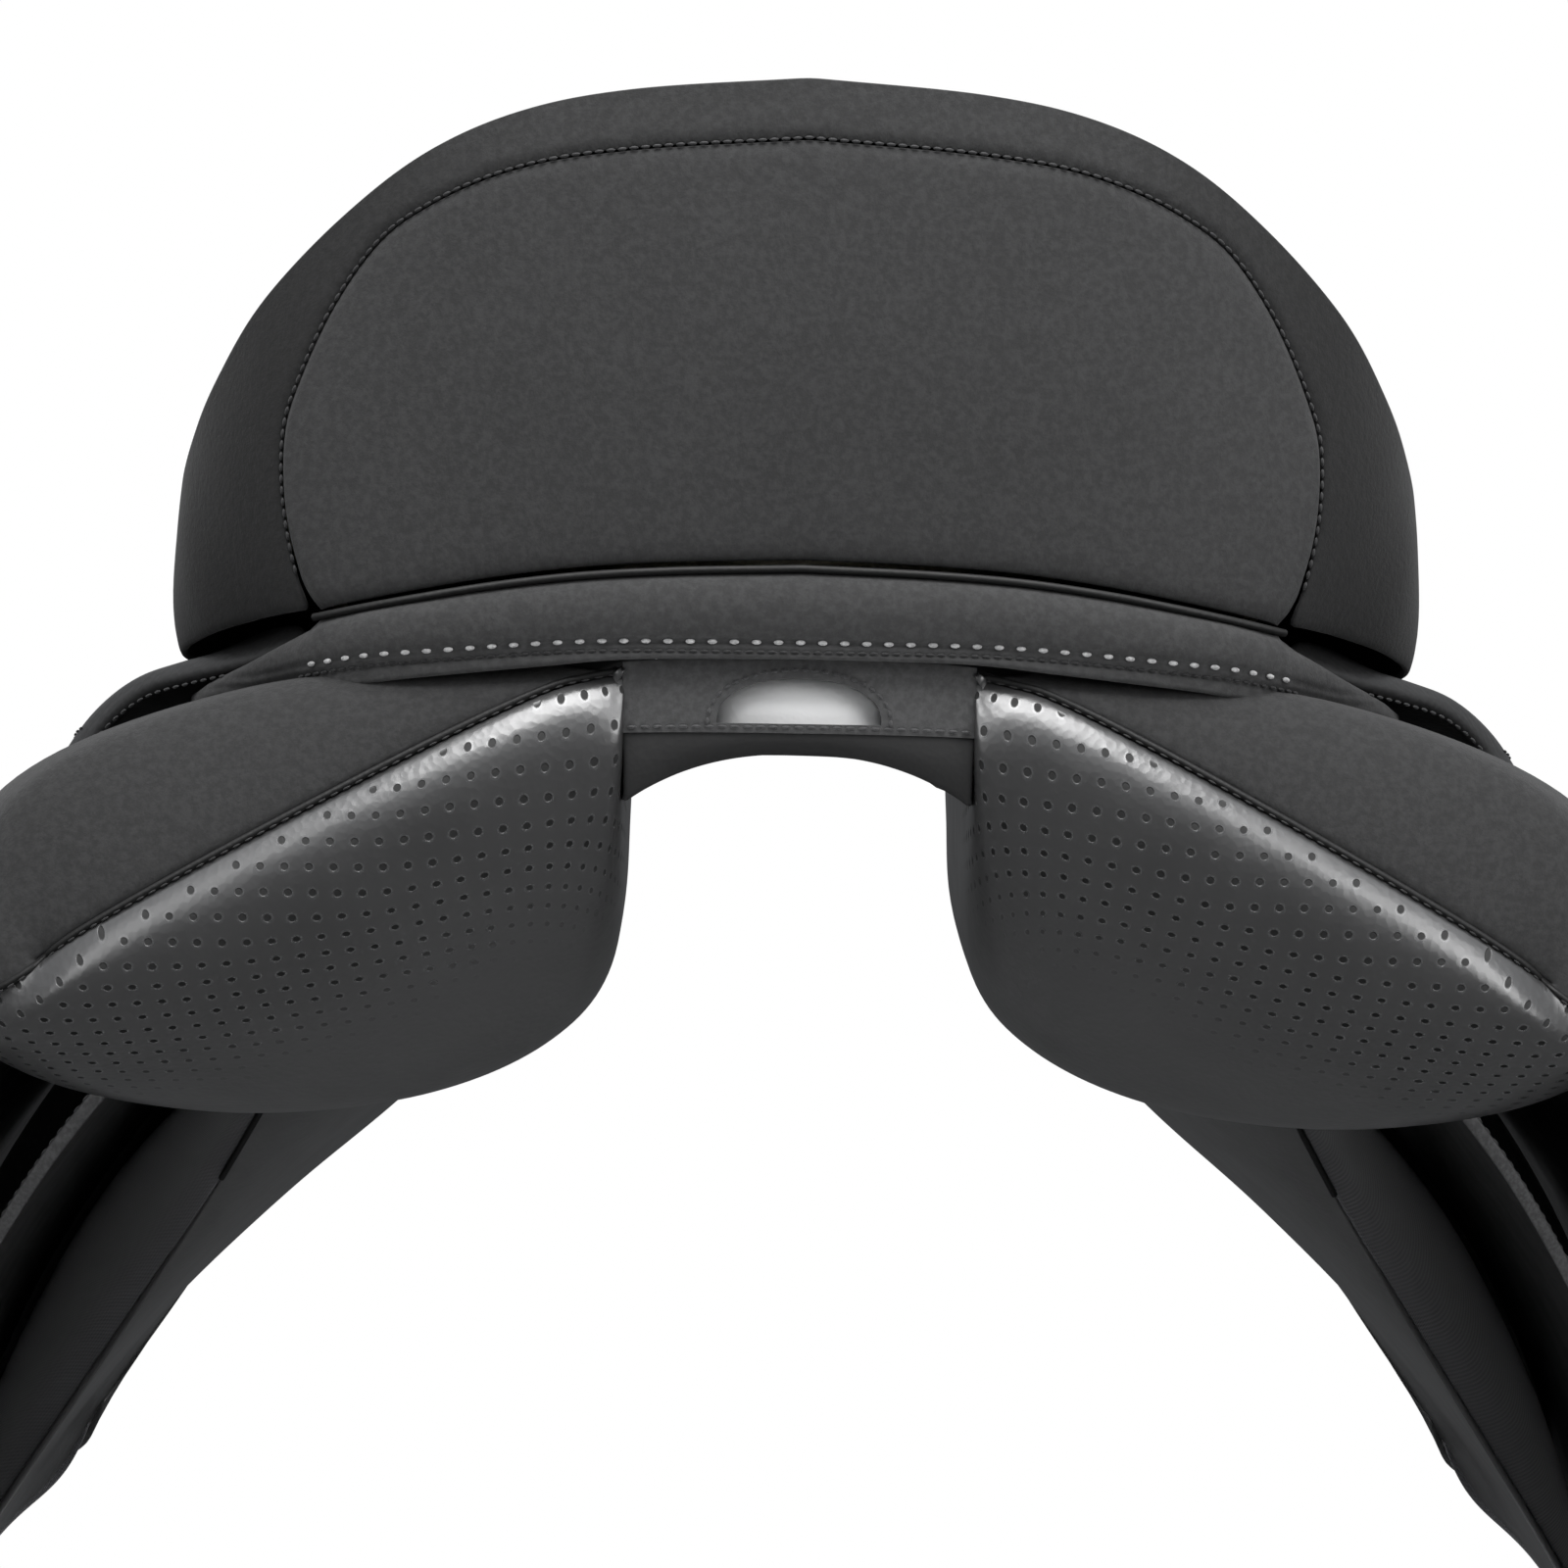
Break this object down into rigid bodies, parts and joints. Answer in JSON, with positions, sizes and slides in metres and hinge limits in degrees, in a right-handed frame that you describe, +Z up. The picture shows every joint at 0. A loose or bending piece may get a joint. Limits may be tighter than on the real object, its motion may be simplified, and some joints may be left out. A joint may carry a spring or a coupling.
{
  "type": "dressage saddle",
  "caption": "Black dressage saddle with a deep stitched seat, flocked panels, long girth straps under lifting flaps, and stirrup bars under lifting skirts.",
  "frame": {"origin": "on the mid plane, half way along the saddle and level with the rear gullet's ceiling: the place where a saddle rack's ridge holds it", "axes": "+X to the rider's right, +Y forward to the pommel, +Z up"},
  "size_m": [0.5984, 0.5036, 0.5407],
  "materials": {
    "leather": "smooth black calf leather with a soft sheen",
    "nubuck": "black nubuck, matt with a short nap",
    "serge": "grey serge lining",
    "wool_flock": "loose wool",
    "plated_steel": "plated steel",
    "seat_foam": "latex seat foam",
    "laminate": "laminated beech",
    "canvas": "woven canvas web",
    "label_patch": "bare smooth patch"
  },
  "bodies": {
    "root": {"seat_cover": "leather", "cantle_facing": "nubuck", "seat_foam": "seat_foam", "tree": "laminate", "cross_web_rear": "canvas", "cross_web_front": "canvas", "cantle_piping": "leather", "cantle_roll": "leather", "gullet_bridge": "nubuck", "label_blank": "label_patch", "gullet_lining": "leather", "pommel_roll": "leather", "head_plate": "plated_steel", "panel_bearing_r": "leather", "panel_gusset_r": "nubuck", "panel_lining_r": "serge", "panel_flock_r": "wool_flock", "panel_welt_r": "leather", "sweat_flap_r": "leather", "skirt_tail_r": "leather", "thigh_block_r": "nubuck", "girth_web_r": "canvas", "stirrup_bar_r": "plated_steel", "bar_rivet_rear_r": "plated_steel", "bar_rivet_front_r": "plated_steel", "chape_r": "leather", "panel_bearing_l": "leather", "panel_gusset_l": "nubuck", "panel_lining_l": "serge", "panel_flock_l": "wool_flock", "panel_welt_l": "leather", "sweat_flap_l": "leather", "skirt_tail_l": "leather", "thigh_block_l": "nubuck", "girth_web_l": "canvas", "stirrup_bar_l": "plated_steel", "bar_rivet_rear_l": "plated_steel", "bar_rivet_front_l": "plated_steel", "chape_l": "leather"},
    "outer_flap_r": {"outer_flap_r": "leather"},
    "skirt_r": {"skirt_r": "leather"},
    "billet_front_r": {"billet_front_r": "leather"},
    "billet_rear_r": {"billet_rear_r": "leather"},
    "bar_catch_r": {"bar_catch_r": "plated_steel"},
    "dee_r": {"dee_r": "plated_steel"},
    "outer_flap_l": {"outer_flap_l": "leather"},
    "skirt_l": {"skirt_l": "leather"},
    "billet_front_l": {"billet_front_l": "leather"},
    "billet_rear_l": {"billet_rear_l": "leather"},
    "bar_catch_l": {"bar_catch_l": "plated_steel"},
    "dee_l": {"dee_l": "plated_steel"}
  },
  "joints": [
    {"name": "flap_lift_r", "type": "hinge", "parent": "root", "child": "outer_flap_r", "pos_m": [0.0695, 0.15, 0.0265], "axis": [0.2134, -0.9741, -0.0742], "range_deg": [0, 55]},
    {"name": "skirt_lift_r", "type": "hinge", "parent": "outer_flap_r", "child": "skirt_r", "pos_m": [0.0695, 0.15, 0.0265], "axis": [0.2134, -0.9741, -0.0742], "range_deg": [0, 40]},
    {"name": "catch_flip_r", "type": "hinge", "parent": "root", "child": "bar_catch_r", "pos_m": [0.1023, 0.077, -0.0005], "axis": [-1, 0, 0], "range_deg": [0, 22]},
    {"name": "dee_swing_r", "type": "hinge", "parent": "root", "child": "dee_r", "pos_m": [0.084, 0.187, 0.019], "axis": [0, -1, 0], "range_deg": [0, 70]},
    {"name": "flap_lift_l", "type": "hinge", "parent": "root", "child": "outer_flap_l", "pos_m": [-0.0695, 0.15, 0.0265], "axis": [0.2134, 0.9741, 0.0742], "range_deg": [0, 55]},
    {"name": "skirt_lift_l", "type": "hinge", "parent": "outer_flap_l", "child": "skirt_l", "pos_m": [-0.0695, 0.15, 0.0265], "axis": [0.2134, 0.9741, 0.0742], "range_deg": [0, 40]},
    {"name": "catch_flip_l", "type": "hinge", "parent": "root", "child": "bar_catch_l", "pos_m": [-0.1023, 0.077, -0.0005], "axis": [-1, 0, 0], "range_deg": [0, 22]},
    {"name": "dee_swing_l", "type": "hinge", "parent": "root", "child": "dee_l", "pos_m": [-0.084, 0.187, 0.019], "axis": [0, 1, 0], "range_deg": [0, 70]},
    {"name": "billet_front_swing_r", "type": "hinge", "parent": "root", "child": "billet_front_r", "pos_m": [0.12654, 0.09, -0.0244], "axis": [0.6444, 0, 0.7647], "range_deg": [-2.5, 2.5]},
    {"name": "billet_rear_swing_r", "type": "hinge", "parent": "root", "child": "billet_rear_r", "pos_m": [0.12654, 0.044, -0.0244], "axis": [0.6444, 0, 0.7647], "range_deg": [-2.5, 2.5]},
    {"name": "billet_front_swing_l", "type": "hinge", "parent": "root", "child": "billet_front_l", "pos_m": [-0.12654, 0.09, -0.0244], "axis": [-0.6444, 0, 0.7647], "range_deg": [-2.5, 2.5]},
    {"name": "billet_rear_swing_l", "type": "hinge", "parent": "root", "child": "billet_rear_l", "pos_m": [-0.12654, 0.044, -0.0244], "axis": [-0.6444, 0, 0.7647], "range_deg": [-2.5, 2.5]}
  ]
}
